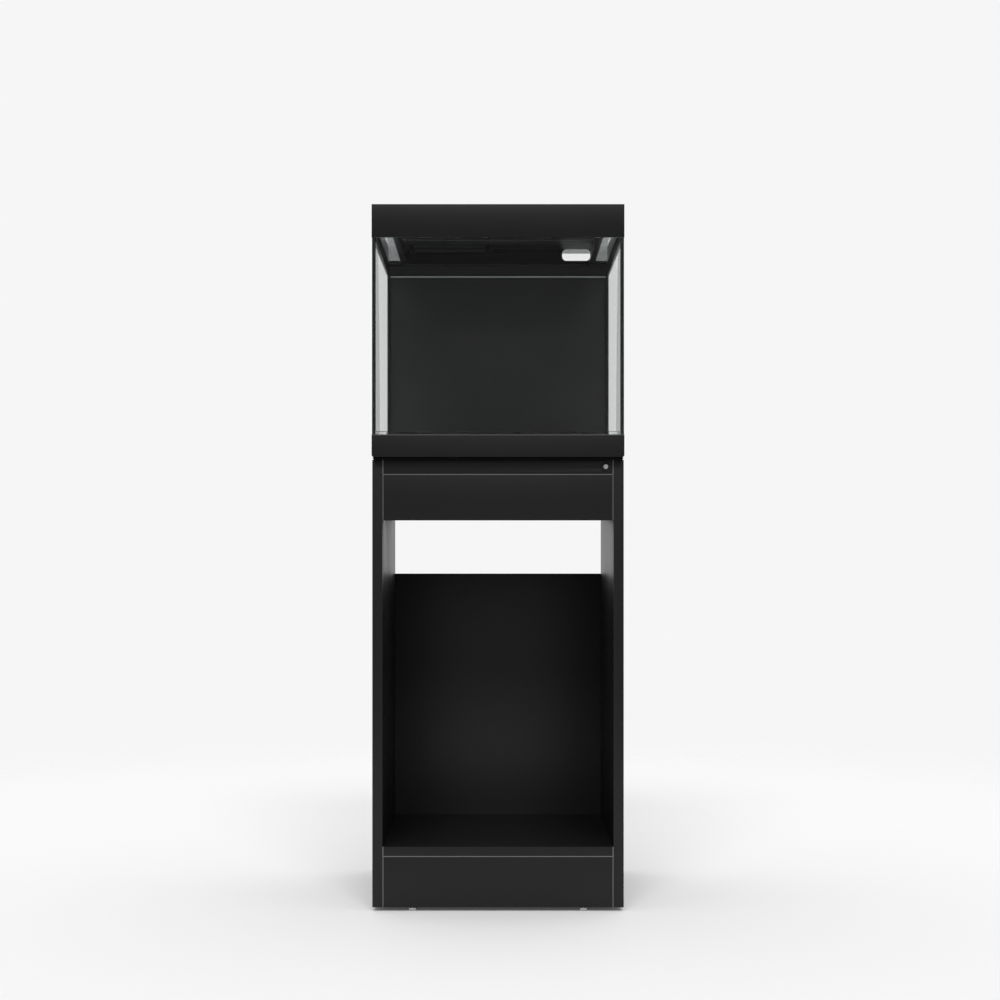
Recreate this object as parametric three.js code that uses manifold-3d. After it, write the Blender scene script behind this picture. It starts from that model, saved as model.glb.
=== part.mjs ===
// Aquarium on a cabinet stand: a cube tank of bonded glass on a moulded tray, a lift-off hood with
// a feeding flap, and an open-fronted cabinet of black boards on four glides.
// Millimetres. +X is right, +Y is away from the front, +Z is up.
// The origin is on the floor, under the middle of the object.

import * as THREE from 'three';
import { mergeVertices } from 'three/addons/utils/BufferGeometryUtils.js';
import Module from 'manifold-3d';

const wasm = await Module();
wasm.setup();

// ---- Driving dimensions ----

// Overall
const WIDTH = 450;
const DEPTH = 450;
const GAP = 0.3;

// Stand
const CABINET_HEIGHT = 801;
const BOARD = 18;
const TOP_BOARD = 25;
const DOOR_SETBACK = 18;
const REAR_SETBACK = 8;
const APRON_HEIGHT = 83;
const KICK_HEIGHT = 90;
const BACK_HEIGHT = 593.5;
const REAR_RAIL_HEIGHT = 71;

// Glides
const GLIDE_HEIGHT = 7;
const GLIDE_RADIUS = 8;
const GLIDE_INSET = 72;
const SPIGOT_RADIUS = 3;
const SPIGOT_LENGTH = 14;

// Cam fittings
const CAM_RADIUS = 7.5;
const CAM_HEIGHT = 12;
const CAM_INSET = 24;
const CAM_SPACING = 260;
const CAM_AXIS_DEPTH = 9;
const BOLT_RADIUS = 3.5;
const BOLT_NECK_RADIUS = 1.9;
const BOLT_THREAD_RADIUS = 2.6;
const BOLT_THREAD_LENGTH = 10.5;
const BOLT_HEAD_LENGTH = 2;

// Push latch
const PLUNGER_RADIUS = 4.25;
const PLUNGER_REACH = 6;
const PLUNGER_LENGTH = 38;
const PLUNGER_TAIL_RADIUS = 1.6;
const PLUNGER_TAIL_LENGTH = 7;
const LATCH_INSET = 14.4;
const LATCH_WALL = 1.1;
const LATCH_DEPTH = 50;
const LATCH_COLLAR_RADIUS = 7;
const LATCH_COLLAR = 1.2;
const LATCH_END = 2.5;
const SLIDING_GAP = 0.15;
const SPRING_RADIUS = 2.6;
const SPRING_WIRE = 0.5;
const SPRING_TURNS = 6;

// Tank
const MAT_THICKNESS = 4;
const MAT_INSET = 2;
const TRAY_HEIGHT = 40;
const TRAY_WALL = 3;
const TRAY_TOP = 4;
const TRAY_CORNER = 4;
const GLASS = 5;
const GLASS_INSET = 0.5;
const GLASS_HEIGHT = 351;
const BACKGROUND = 0.4;
const BOND = 1;
const FILLET = 1.2;

// Hood
const HOOD_HEIGHT = 59;
const HOOD_WALL = 3;
const LEDGE_WIDTH = 12;
const LEDGE_BELOW_TOP = 34;
const LEDGE = 3;
const SIDE_LEDGE_WIDTH = 2;
const RAIL_OUTER = 194;
const RAIL_WEB = 3.7;
const RAIL_FLANGE = 6;
const STRIP_LIP = 2;
const SHOULDER_WIDTH = 4;
const SHOULDER = 2.7;
const LID = 3;
const COVER = 3;
const COVER_GAP_REAR = 106;
const SLOT_CENTRE_X = 158.5;
const SLOT_WIDTH = 57;
const SLOT_HEIGHT = 25;
const SLOT_RADIUS = 9;

// Feeding flap
const HINGE_FROM_REAR = 168.5;
const HINGE_BELOW_TOP = 4;
const KNUCKLE_RADIUS = 4;
const KNUCKLE_LENGTH = 24;
const PIN_RADIUS = 2;
const PIN_LENGTH = 16;
const PIN_HOLE_RADIUS = 2.3;
const LID_REAR_EDGE = 1;
const LID_SPLIT_GAP = 4.2;
const NOTCH_RADIUS = 32;
const NOTCH_DEPTH = 9;

// Cover grip
const GRIP_WIDTH = 70;
const GRIP_DEPTH = 12;
const GRIP_HEIGHT = 9;
const GRIP_FROM_FRONT = 24;

// Light unit
const LIGHT_WIDTH = 160;
const LIGHT_DEPTH = 105;
const LIGHT_HEIGHT = 16;
const LIGHT_WALL = 2;
const LIGHT_CENTRE_X = -96;
const LIGHT_FROM_LID_EDGE = 5;
const LENS_LENGTH = 140;
const LENS_WIDTH = 30;
const LENS_SPACING = 48;
const LENS_THICKNESS = 2;
const LENS_RIM = 2;
const LED_BOARD = 1.6;
const LED_BOARD_LIFT = 8;
const SOCKET_RADIUS = 4.5;
const SOCKET_BORE = 2.9;
const SOCKET_PIN = 1.1;
const SOCKET_LENGTH = 10;

// ---- Levels and planes worked out from them ----

const halfW = WIDTH / 2;
const halfD = DEPTH / 2;
const boardFront = -halfD + DOOR_SETBACK;
const backRear = halfD - REAR_SETBACK;
const sideRear = backRear - BOARD - GAP;
const standBottom = GLIDE_HEIGHT;
const standTop = standBottom + CABINET_HEIGHT;
const innerX = halfW - BOARD;
const boardX = innerX - GAP;
const topBoardZ = standTop - TOP_BOARD;
const shelfZ = standBottom + KICK_HEIGHT + GAP;
const trayZ = standTop + MAT_THICKNESS;
const glassZ = trayZ + TRAY_HEIGHT + GAP;
const hoodZ = trayZ + TRAY_HEIGHT + GLASS_HEIGHT;
const glassTop = hoodZ - GAP;
const hoodTop = hoodZ + HOOD_HEIGHT;
const glassX = halfW - GLASS_INSET;
const glassFront = -halfD + GLASS_INSET;
const glassRear = halfD - GLASS_INSET - BACKGROUND - GAP;
const hoodInX = halfW - HOOD_WALL;
const hoodInY = halfD - HOOD_WALL;
const ledgeTop = hoodTop - LEDGE_BELOW_TOP;
const railZ = ledgeTop + GAP;
const coverZ = railZ + LEDGE + GAP;
const coverTop = coverZ + COVER;
const lidZ = hoodTop - LID;
const lidX = RAIL_OUTER - RAIL_WEB - GAP;
const hingeY = halfD - HINGE_FROM_REAR;
const hingeZ = hoodTop - HINGE_BELOW_TOP;
const fixedTopY = hingeY + LID_REAR_EDGE + LID_SPLIT_GAP;
const lightTop = lidZ - GAP;
const lightZ = lightTop - LIGHT_HEIGHT;
const lightY = fixedTopY + LIGHT_FROM_LID_EDGE;

const model = new THREE.Group();

// ---- Materials ----

const finish = (color, roughness, metalness, extra = {}) =>
  new THREE.MeshStandardMaterial({ color, roughness, metalness, ...extra });
const blackBoard = finish(0x222224, 0.55, 0);
const blackPlastic = finish(0x1f1f21, 0.4, 0);
const foam = finish(0x0c0c0d, 0.95, 0);
const silicone = finish(0x0b0b0c, 0.5, 0);
const film = finish(0x19191b, 0.6, 0);
const clearGlass = finish(0xdfeeea, 0.05, 0, { transparent: true, opacity: 0.3 });
const clearPlastic = finish(0xe8eef0, 0.12, 0, { transparent: true, opacity: 0.45 });
const greyPlastic = finish(0x9c9da0, 0.45, 0);
const steel = finish(0xb9babd, 0.3, 1);
const zinc = finish(0x9fa1a4, 0.4, 1);
const diffuser = finish(0xd5d8da, 0.5, 0);
const circuit = finish(0xe2e4e0, 0.6, 0);

// ---- Shape helpers ----

// A box from its lowest corner to its highest corner.
function block(low, high) {
  const size = high.map((value, i) => value - low[i]);
  const centre = high.map((value, i) => (value + low[i]) / 2);
  return new THREE.BoxGeometry(...size).translate(...centre);
}

// A cylinder along X, Y or Z from a start point.
function rod(start, axis, length, radius, sides = 24) {
  const shape = new THREE.CylinderGeometry(radius, radius, length, sides);
  const turn = new THREE.Quaternion().setFromUnitVectors(new THREE.Vector3(0, 1, 0), axis);
  const middle = new THREE.Vector3(...start).addScaledVector(axis, length / 2);
  return shape.applyQuaternion(turn).translate(...middle);
}

// A turned piece: [radius, distance along the axis] pairs, starting and ending on the axis.
function turned(profile, start, axis, sides = 24) {
  const points = profile.map(([radius, along]) => new THREE.Vector2(radius, along));
  const shape = new THREE.LatheGeometry(points, sides);
  const turn = new THREE.Quaternion().setFromUnitVectors(new THREE.Vector3(0, 1, 0), axis);
  return shape.applyQuaternion(turn).translate(...start);
}

// A closed outline in X and Z, extruded along Y.
function plateAlongY(outline, y, thickness) {
  const shape = new THREE.ExtrudeGeometry(outline, { depth: thickness, bevelEnabled: false, curveSegments: 10 });
  return shape.rotateX(Math.PI / 2).translate(0, y + thickness, 0);
}

// A rectangle with round corners, centred on x, y.
function roundedRectangle(x, y, width, height, radius) {
  const shape = new THREE.Shape();
  const right = x + width / 2 - radius;
  const left = x - width / 2 + radius;
  const top = y + height / 2 - radius;
  const bottom = y - height / 2 + radius;
  shape.absarc(right, top, radius, 0, Math.PI / 2);
  shape.absarc(left, top, radius, Math.PI / 2, Math.PI);
  shape.absarc(left, bottom, radius, Math.PI, 1.5 * Math.PI);
  shape.absarc(right, bottom, radius, 1.5 * Math.PI, 2 * Math.PI);
  shape.closePath();
  return shape;
}

function toSolid(geometry) {
  const bare = geometry.clone();
  bare.deleteAttribute('normal');
  bare.deleteAttribute('uv');
  const merged = mergeVertices(bare, 1e-4);
  const vertProperties = new Float32Array(merged.attributes.position.array);
  const triVerts = new Uint32Array(merged.index.array);
  return new wasm.Manifold(new wasm.Mesh({ numProp: 3, vertProperties, triVerts }));
}

function toGeometry(solid) {
  const mesh = solid.getMesh();
  const geometry = new THREE.BufferGeometry();
  geometry.setAttribute('position', new THREE.BufferAttribute(new Float32Array(mesh.vertProperties), 3));
  geometry.setIndex(new THREE.BufferAttribute(new Uint32Array(mesh.triVerts), 1));
  geometry.computeVertexNormals();
  return geometry;
}

function cut(body, ...tools) {
  return toGeometry(tools.reduce((solid, tool) => solid.subtract(toSolid(tool)), toSolid(body)));
}

function join(...pieces) {
  return toGeometry(pieces.map(toSolid).reduce((sum, piece) => sum.add(piece)));
}

function place(name, geometry, material) {
  const mesh = new THREE.Mesh(geometry, material);
  mesh.name = name;
  model.add(mesh);
}

const alongX = new THREE.Vector3(1, 0, 0);
const alongY = new THREE.Vector3(0, 1, 0);
const alongZ = new THREE.Vector3(0, 0, 1);
const SIDES = { left: -1, right: 1 };
const ENDS = { front: -1, rear: 1 };

// ---- Cabinet stand ----

// Where the cam fittings go: the underside of each level board and its two ends.
const camBoards = { top: topBoardZ, shelf: shelfZ };
const camY = side => (boardFront + sideRear) / 2 + (side * CAM_SPACING) / 2;
const camX = innerX - CAM_INSET;

// The holes in one end of a level board: the cam's pocket and the bolt's channel.
function camHoles(boardZ) {
  const holes = [];
  for (const sideX of Object.values(SIDES)) {
    for (const sideY of Object.values(ENDS)) {
      const x = sideX * camX;
      const y = camY(sideY);
      const axis = new THREE.Vector3(sideX, 0, 0);
      holes.push(rod([x, y, boardZ - 1], alongZ, CAM_HEIGHT + GAP + 1, CAM_RADIUS + GAP));
      const headEnd = x - sideX * (BOLT_HEAD_LENGTH + 2 * GAP);
      const channel = CAM_INSET + BOLT_HEAD_LENGTH + 1;
      holes.push(rod([headEnd, y, boardZ + CAM_AXIS_DEPTH], axis, channel, BOLT_RADIUS + GAP));
    }
  }
  return holes;
}

// Where the four glides stand: under the kick board in front and the back board behind.
const glideX = halfW - GLIDE_INSET;
const glideY = { front: boardFront + BOARD / 2, rear: backRear - BOARD / 2 };

function glideHoles(y) {
  return Object.values(SIDES).map(side =>
    rod([side * glideX, y, standBottom - 1], alongZ, SPIGOT_LENGTH + 2 * GAP + 1, SPIGOT_RADIUS + GAP));
}

function addSideBoard(name, side) {
  const inner = side * innerX;
  const outer = side * halfW;
  const low = [Math.min(inner, outer), boardFront, standBottom];
  const high = [Math.max(inner, outer), sideRear, standTop];
  const holes = [];
  for (const boardZ of Object.values(camBoards)) {
    for (const sideY of Object.values(ENDS)) {
      const start = [inner - side, camY(sideY), boardZ + CAM_AXIS_DEPTH];
      const length = 1 + BOLT_THREAD_LENGTH + 2 * GAP;
      holes.push(rod(start, new THREE.Vector3(side, 0, 0), length, BOLT_THREAD_RADIUS + GAP));
    }
  }
  place(name, cut(block(low, high), ...holes), blackBoard);
}

// The latch is let into the front edge of the top board, near its right end.
const latchX = innerX - LATCH_INSET;
const latchZ = topBoardZ + TOP_BOARD / 2;
const latchBore = PLUNGER_RADIUS + SLIDING_GAP;
const latchRadius = latchBore + LATCH_WALL;

function addBoards() {
  addSideBoard('left_side_board', -1);
  addSideBoard('right_side_board', 1);

  const top = block([-boardX, boardFront, topBoardZ], [boardX, sideRear, standTop]);
  const bore = rod([latchX, boardFront - 1, latchZ], alongY, LATCH_DEPTH + GAP + 1, latchRadius + GAP);
  place('top_board', cut(top, bore, ...camHoles(topBoardZ)), blackBoard);

  const shelf = block([-boardX, boardFront, shelfZ], [boardX, sideRear, shelfZ + BOARD]);
  place('bottom_shelf', cut(shelf, ...camHoles(shelfZ)), blackBoard);

  const underTop = topBoardZ - GAP;
  const apron = block([-boardX, boardFront, underTop - APRON_HEIGHT], [boardX, boardFront + BOARD, underTop]);
  place('front_apron', apron, blackBoard);

  const rail = block([-boardX, sideRear - BOARD, underTop - REAR_RAIL_HEIGHT], [boardX, sideRear, underTop]);
  place('rear_rail', rail, blackBoard);

  const kickTop = shelfZ - GAP;
  const kick = block([-boardX, boardFront, standBottom], [boardX, boardFront + BOARD, kickTop]);
  place('kick_board', cut(kick, ...glideHoles(glideY.front)), blackBoard);

  const back = block([-halfW, backRear - BOARD, standBottom], [halfW, backRear, standBottom + BACK_HEIGHT]);
  place('back_board', cut(back, ...glideHoles(glideY.rear)), blackBoard);
}

function addGlides() {
  const foot = GLIDE_HEIGHT - GAP;
  const profile = [
    [0, 0],
    [GLIDE_RADIUS - 1, 0],
    [GLIDE_RADIUS, 1],
    [GLIDE_RADIUS, foot - 1],
    [GLIDE_RADIUS - 1, foot],
    [SPIGOT_RADIUS, foot],
    [SPIGOT_RADIUS, foot + SPIGOT_LENGTH],
    [0, foot + SPIGOT_LENGTH],
  ];
  for (const [end, y] of Object.entries(glideY)) {
    for (const [name, side] of Object.entries(SIDES)) {
      place(`${end}_${name}_glide`, turned(profile, [side * glideX, y, 0], alongZ), steel);
    }
  }
}

// One cam with its bolt. The bolt's head sits in the cam's slot.
function addCamFitting(name, boardZ, sideX, sideY) {
  const x = sideX * camX;
  const y = camY(sideY);
  const z = boardZ + CAM_AXIS_DEPTH;
  const headRoom = BOLT_RADIUS + GAP;
  const neckRoom = BOLT_NECK_RADIUS + GAP;
  const disc = rod([x, y, boardZ], alongZ, CAM_HEIGHT, CAM_RADIUS);
  const across = (from, to, half) => {
    const ends = [x + sideX * from, x + sideX * to];
    return block([Math.min(...ends), y - half, z - headRoom], [Math.max(...ends), y + half, z + headRoom]);
  };
  const headSlot = across(-BOLT_HEAD_LENGTH - GAP, GAP, headRoom);
  const neckSlot = across(0, CAM_RADIUS + 1, neckRoom);
  place(`${name}_cam`, cut(disc, headSlot, neckSlot), zinc);

  const neckEnd = BOLT_HEAD_LENGTH + CAM_RADIUS + GAP;
  const shankEnd = BOLT_HEAD_LENGTH + CAM_INSET - GAP;
  const threadEnd = shankEnd + BOLT_THREAD_LENGTH;
  const profile = [
    [0, 0],
    [BOLT_RADIUS, 0],
    [BOLT_RADIUS, BOLT_HEAD_LENGTH],
    [BOLT_NECK_RADIUS, BOLT_HEAD_LENGTH],
    [BOLT_NECK_RADIUS, neckEnd],
    [BOLT_RADIUS, neckEnd + 1],
    [BOLT_RADIUS, shankEnd],
    [BOLT_THREAD_RADIUS, shankEnd],
    [BOLT_THREAD_RADIUS, threadEnd],
    [0, threadEnd],
  ];
  const start = [x - sideX * BOLT_HEAD_LENGTH, y, z];
  place(`${name}_bolt`, turned(profile, start, new THREE.Vector3(sideX, 0, 0), 16), steel);
}

function addCamFittings() {
  for (const [board, boardZ] of Object.entries(camBoards)) {
    for (const [end, sideY] of Object.entries(ENDS)) {
      for (const [side, sideX] of Object.entries(SIDES)) {
        addCamFitting(`${board}_${end}_${side}`, boardZ, sideX, sideY);
      }
    }
  }
}

// A sprung push latch: a sleeve, a plunger that a door pushes in, and the spring behind it.
function addPushLatch() {
  const collar = boardFront - GAP;
  const boreEnd = LATCH_DEPTH - LATCH_END;
  const sleeve = [
    [latchBore, -LATCH_COLLAR],
    [LATCH_COLLAR_RADIUS, -LATCH_COLLAR],
    [LATCH_COLLAR_RADIUS, 0],
    [latchRadius, 0],
    [latchRadius, LATCH_DEPTH],
    [0, LATCH_DEPTH],
    [0, boreEnd],
    [latchBore, boreEnd],
    [latchBore, -LATCH_COLLAR],
  ];
  place('latch_sleeve', turned(sleeve, [latchX, collar, latchZ], alongY), blackPlastic);

  const plunger = [
    [0, -PLUNGER_REACH],
    [PLUNGER_RADIUS - 0.6, -PLUNGER_REACH],
    [PLUNGER_RADIUS, 0.6 - PLUNGER_REACH],
    [PLUNGER_RADIUS, PLUNGER_LENGTH - PLUNGER_REACH],
    [PLUNGER_TAIL_RADIUS, PLUNGER_LENGTH - PLUNGER_REACH],
    [PLUNGER_TAIL_RADIUS, PLUNGER_LENGTH - PLUNGER_REACH + PLUNGER_TAIL_LENGTH],
    [0, PLUNGER_LENGTH - PLUNGER_REACH + PLUNGER_TAIL_LENGTH],
  ];
  place('latch_plunger', turned(plunger, [latchX, collar, latchZ], alongY), greyPlastic);

  const springStart = collar + PLUNGER_LENGTH - PLUNGER_REACH + GAP + SPRING_WIRE;
  const springEnd = collar + boreEnd - GAP - SPRING_WIRE;
  const points = [];
  const steps = SPRING_TURNS * 12;
  for (let i = 0; i <= steps; i += 1) {
    const angle = (i / 12) * 2 * Math.PI;
    const y = THREE.MathUtils.lerp(springStart, springEnd, i / steps);
    points.push(new THREE.Vector3(
      latchX + SPRING_RADIUS * Math.cos(angle), y, latchZ + SPRING_RADIUS * Math.sin(angle)));
  }
  const section = new THREE.Shape().absarc(0, 0, SPRING_WIRE, 0, 2 * Math.PI);
  const coil = new THREE.ExtrudeGeometry(section, {
    steps, extrudePath: new THREE.CatmullRomCurve3(points), curveSegments: 3, bevelEnabled: false,
  });
  place('latch_spring', coil, steel);
}

// ---- Tank ----

function addTankBase() {
  const matX = halfW - MAT_INSET;
  const matY = halfD - MAT_INSET;
  const mat = block([-matX, -matY, standTop + GAP], [matX, matY, trayZ - GAP]);
  place('levelling_mat', mat, foam);

  // The tray is an upside-down box with round lower corners, stiffened by crossed ribs.
  const outline = roundedRectangle(0, trayZ + TRAY_HEIGHT, WIDTH, 2 * TRAY_HEIGHT, TRAY_CORNER);
  const shell = plateAlongY(outline, -halfD, DEPTH);
  const above = block([-WIDTH, -DEPTH, trayZ + TRAY_HEIGHT], [WIDTH, DEPTH, trayZ + 3 * TRAY_HEIGHT]);
  const pockets = [];
  const pitchX = (WIDTH - TRAY_WALL) / 3;
  const pitchY = (DEPTH - TRAY_WALL) / 3;
  for (let i = 0; i < 3; i += 1) {
    for (let j = 0; j < 3; j += 1) {
      const x = -halfW + TRAY_WALL + i * pitchX;
      const y = -halfD + TRAY_WALL + j * pitchY;
      const high = [x + pitchX - TRAY_WALL, y + pitchY - TRAY_WALL, trayZ + TRAY_HEIGHT - TRAY_TOP];
      pockets.push(block([x, y, trayZ - 1], high));
    }
  }
  place('tank_base_tray', cut(shell, above, ...pockets), blackPlastic);
}

// Planes between the panes: the side panes stand between the front and rear panes.
const paneInX = glassX - GLASS;
const frontPaneIn = glassFront + GLASS;
const rearPaneIn = glassRear - GLASS;
const sideFront = frontPaneIn + BOND + 2 * GAP;
const sideRearEdge = rearPaneIn - BOND - 2 * GAP;
const floorTop = glassZ + GLASS;

function addPanes() {
  place('front_glass', block([-glassX, glassFront, glassZ], [glassX, frontPaneIn, glassTop]), clearGlass);
  place('rear_glass', block([-glassX, rearPaneIn, glassZ], [glassX, glassRear, glassTop]), clearGlass);
  place('left_glass', block([-glassX, sideFront, glassZ], [-paneInX, sideRearEdge, glassTop]), clearGlass);
  place('right_glass', block([paneInX, sideFront, glassZ], [glassX, sideRearEdge, glassTop]), clearGlass);
  const floorX = paneInX - GAP;
  const floor = block([-floorX, frontPaneIn + GAP, glassZ], [floorX, rearPaneIn - GAP, floorTop]);
  place('bottom_glass', floor, clearGlass);
  const filmLow = [-glassX, glassRear + GAP, glassZ];
  place('rear_background', block(filmLow, [glassX, glassRear + GAP + BACKGROUND, glassTop]), film);
}

// One corner seam: the bond under the side pane's edge and the fillet that runs out of it.
function addSeam(name, sideX, sideY) {
  const faceY = sideY < 0 ? frontPaneIn : rearPaneIn;
  const outerX = glassX;
  const innerFace = paneInX - GAP;
  const at = (x, inwards) => new THREE.Vector2(sideX * x, faceY - sideY * inwards);
  const outline = [
    at(outerX, GAP),
    at(innerFace - FILLET, GAP),
    at(innerFace, GAP + BOND + FILLET),
    at(innerFace, GAP + BOND),
    at(outerX, GAP + BOND),
  ];
  const shape = new THREE.Shape(outline);
  const height = glassTop - floorTop - FILLET - 2 * GAP;
  const seam = new THREE.ExtrudeGeometry(shape, { depth: height, bevelEnabled: false });
  place(name, seam.translate(0, 0, floorTop + FILLET + GAP), silicone);
}

function addSeams() {
  for (const [end, sideY] of Object.entries(ENDS)) {
    for (const [side, sideX] of Object.entries(SIDES)) {
      addSeam(`${end}_${side}_seam`, sideX, sideY);
    }
  }
  // The floor seam runs round the inside of the tank in one bead with a sloping face.
  const x = paneInX - GAP;
  const front = frontPaneIn + GAP;
  const rear = rearPaneIn - GAP;
  const bead = block([-x, front, floorTop + GAP], [x, rear, floorTop + FILLET]);
  const rootTwo = Math.SQRT2;
  const slope = new THREE.CylinderGeometry(rootTwo * (x + 1), rootTwo * (x - FILLET - 1), FILLET + 2, 4);
  slope.rotateX(Math.PI / 2).rotateZ(Math.PI / 4);
  slope.scale(1, (rear - front) / (2 * x), 1);
  slope.translate(0, (front + rear) / 2, floorTop + FILLET / 2);
  place('floor_seam', cut(bead, slope), silicone);
}

// ---- Hood ----

// The hood's frame: four walls, a ledge inside them and, behind, a rounded slot for cables.
function addHoodFrame() {
  const outer = block([-halfW, -halfD, hoodZ], [halfW, halfD, hoodTop]);
  const inner = block([-hoodInX, -hoodInY, hoodZ - 1], [hoodInX, hoodInY, hoodTop + 1]);
  const walls = cut(outer, inner);

  const lowLedge = ledgeTop - LEDGE;
  const ledgeOut = block([-hoodInX - 1, -hoodInY - 1, lowLedge], [hoodInX + 1, hoodInY + 1, ledgeTop]);
  const windowY = hoodInY - LEDGE_WIDTH;
  const windowX = hoodInX - SIDE_LEDGE_WIDTH;
  const ledge = cut(ledgeOut, block([-windowX, -windowY, lowLedge - 1], [windowX, windowY, ledgeTop + 1]));

  const sideLedges = Object.values(SIDES).map(side => {
    const ends = [side * windowX, side * (hoodInX + 1)];
    const low = [Math.min(...ends), -windowY, lowLedge];
    return block(low, [Math.max(...ends), windowY, railZ + LEDGE]);
  });
  const restTop = lidZ - GAP;
  const flapRest = block([-lidX, -hoodInY - 1, restTop - SHOULDER], [lidX, -hoodInY + SHOULDER_WIDTH, restTop]);

  const corners = Object.values(SIDES).map(side => {
    const ends = [side * RAIL_OUTER, side * hoodInX];
    const low = [Math.min(...ends), hoodInY - 1, coverTop];
    return block(low, [Math.max(...ends), halfD + 1, hoodTop + 1]);
  });
  const slotZ = coverTop + SLOT_HEIGHT / 2;
  const slotOutline = roundedRectangle(SLOT_CENTRE_X, slotZ, SLOT_WIDTH, SLOT_HEIGHT, SLOT_RADIUS);
  const slot = plateAlongY(slotOutline, hoodInY - 2, HOOD_WALL + 4);
  const frame = join(walls, ledge, flapRest, ...sideLedges);
  place('hood_frame', cut(frame, slot, ...corners), blackPlastic);
}

// A rail along each side of the lid. Its foot carries the clear strip outside and the cover inside.
function addRail(name, side) {
  const web = RAIL_OUTER - RAIL_WEB;
  const from = -hoodInY + GAP;
  const to = hoodInY - GAP;
  const span = (a, b, y0, y1, z0, z1) => {
    const ends = [side * a, side * b];
    return block([Math.min(...ends), y0, z0], [Math.max(...ends), y1, z1]);
  };
  const upright = span(web, RAIL_OUTER, from, to, railZ, hoodTop);
  const foot = span(web - RAIL_FLANGE, RAIL_OUTER + STRIP_LIP, from, to, railZ, railZ + LEDGE);
  const shoulder = span(web - SHOULDER_WIDTH, web + 1, fixedTopY + 1, to, lidZ - GAP - SHOULDER, lidZ - GAP);
  const start = [side * (web - 1), hingeY, hingeZ];
  const hole = rod(start, new THREE.Vector3(side, 0, 0), RAIL_WEB + 2, PIN_HOLE_RADIUS, 16);
  place(name, cut(join(upright, foot, shoulder), hole), blackPlastic);
}

function addClearPanels() {
  for (const [name, side] of Object.entries(SIDES)) {
    const ends = [side * (RAIL_OUTER + GAP), side * (hoodInX - GAP)];
    const low = [Math.min(...ends), -hoodInY + GAP, coverZ];
    place(`${name}_clear_strip`, block(low, [Math.max(...ends), hoodInY - GAP, coverTop]), clearPlastic);
  }
  const coverRear = halfD - COVER_GAP_REAR - GAP;
  const cover = block([-lidX, -hoodInY + GAP, coverZ], [lidX, coverRear, coverTop]);
  place('cover_plate', cover, clearPlastic);

  const gripY = -hoodInY + GRIP_FROM_FRONT;
  const gripOutline = roundedRectangle(0, 0, GRIP_WIDTH, GRIP_DEPTH, GRIP_DEPTH / 2 - 0.5);
  const grip = new THREE.ExtrudeGeometry(gripOutline, { depth: GRIP_HEIGHT, bevelEnabled: false, curveSegments: 6 });
  place('cover_grip', grip.translate(0, gripY, coverTop + GAP), blackPlastic);
}

// The lid is split: a flap hinged across its middle and a fixed top behind it.
function addLid() {
  const rearTop = block([-lidX, fixedTopY, lidZ], [lidX, hoodInY - GAP, hoodTop]);
  place('fixed_top', rearTop, blackPlastic);

  const plate = block([-lidX, -hoodInY + GAP, lidZ], [lidX, hingeY + LID_REAR_EDGE, hoodTop]);
  const notch = rod([0, -hoodInY - NOTCH_RADIUS + NOTCH_DEPTH, lidZ - 1], alongZ, LID + 2, NOTCH_RADIUS, 48);
  const knuckles = Object.values(SIDES).map(side => {
    const end = side * (lidX - KNUCKLE_LENGTH);
    return rod([Math.min(side * lidX, end), hingeY, hingeZ], alongX, KNUCKLE_LENGTH, KNUCKLE_RADIUS);
  });
  const bores = Object.values(SIDES).map(side => {
    const end = side * (lidX - PIN_LENGTH);
    const from = Math.min(side * (lidX + 1), end);
    return rod([from, hingeY, hingeZ], alongX, PIN_LENGTH + 1, PIN_RADIUS + GAP, 16);
  });
  place('feeding_flap', cut(join(plate, ...knuckles), notch, ...bores), blackPlastic);

  for (const [name, side] of Object.entries(SIDES)) {
    const inner = side * (lidX - PIN_LENGTH + GAP);
    const outer = side * (RAIL_OUTER - GAP);
    const length = Math.abs(outer - inner);
    const pin = rod([Math.min(inner, outer), hingeY, hingeZ], alongX, length, PIN_RADIUS, 16);
    place(`${name}_hinge_pin`, pin, steel);
  }
}

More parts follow.
